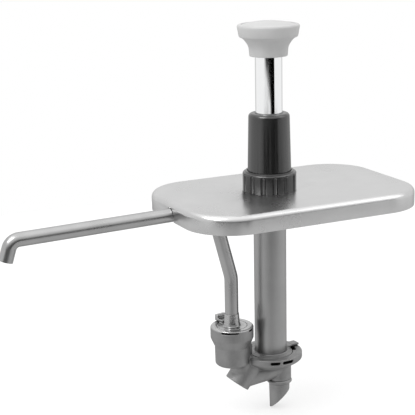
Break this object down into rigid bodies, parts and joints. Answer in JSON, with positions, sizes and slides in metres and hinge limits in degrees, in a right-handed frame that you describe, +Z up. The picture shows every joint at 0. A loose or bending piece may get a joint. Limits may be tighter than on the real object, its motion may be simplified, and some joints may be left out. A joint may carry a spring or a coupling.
{
  "type": "condiment pump",
  "caption": "Hand-pressed condiment pump on a rectangular steel jar lid, with a long side spout, a cylinder and a two-ball valve body below the lid.",
  "frame": {"origin": "where the pump's axis crosses the plane of the lid's bottom rim", "axes": "+Z up the pump's axis towards the knob, +X along the lid away from the spout, so the spout points along -X"},
  "size_m": [0.3646, 0.144, 0.3494],
  "materials": {
    "satin_steel": "satin brushed stainless steel",
    "cast_steel": "matt cast stainless steel",
    "polished_steel": "polished steel balls",
    "spring_steel": "bright spring wire",
    "chrome": "polished chrome plate",
    "black_plastic": "moulded, soft sheen",
    "grey_plastic": "moulded, satin",
    "white_plastic": "turned or moulded, matt",
    "black_rubber": "matt"
  },
  "bodies": {
    "pump_body": {"lid": "satin_steel", "lock_nut": "black_plastic", "plunger_guide": "black_plastic", "cylinder_head": "satin_steel", "cylinder_tube": "satin_steel", "cylinder_flange": "cast_steel", "flange_gasket": "black_rubber", "rod_bush": "white_plastic", "bush_circlip": "satin_steel", "return_spring": "spring_steel", "valve_body": "cast_steel", "passage_plug": "satin_steel", "intake_seat": "white_plastic", "intake_nose": "cast_steel", "outlet_seat": "white_plastic", "discharge_fitting": "cast_steel", "fitting_o_ring": "black_rubber", "discharge_tube": "satin_steel"},
    "plunger": {"knob": "grey_plastic", "knob_cap": "grey_plastic", "knob_screw": "satin_steel", "knob_insert": "satin_steel", "plunger_tube": "chrome", "piston_rod": "satin_steel", "upper_piston_washer": "satin_steel", "piston": "white_plastic", "upper_piston_ring": "black_rubber", "lower_piston_ring": "black_rubber", "lower_piston_washer": "satin_steel", "piston_nut": "satin_steel"},
    "intake_check": {"intake_ball": "polished_steel"},
    "outlet_check": {"outlet_ball": "polished_steel"}
  },
  "joints": [
    {"name": "plunger_slide", "type": "slide", "parent": "pump_body", "child": "plunger", "axis": [0, 0, -1], "range_m": [0, 0.045], "stiffness_N_per_m": 400, "springref_m": -0.03, "deforming": ["return_spring"]},
    {"name": "intake_ball_lift", "type": "slide", "parent": "pump_body", "child": "intake_check", "axis": [0, 0, 1], "range_m": [0, 0.0028]},
    {"name": "outlet_ball_lift", "type": "slide", "parent": "pump_body", "child": "outlet_check", "axis": [0, 0, 1], "range_m": [0, 0.0028]}
  ]
}
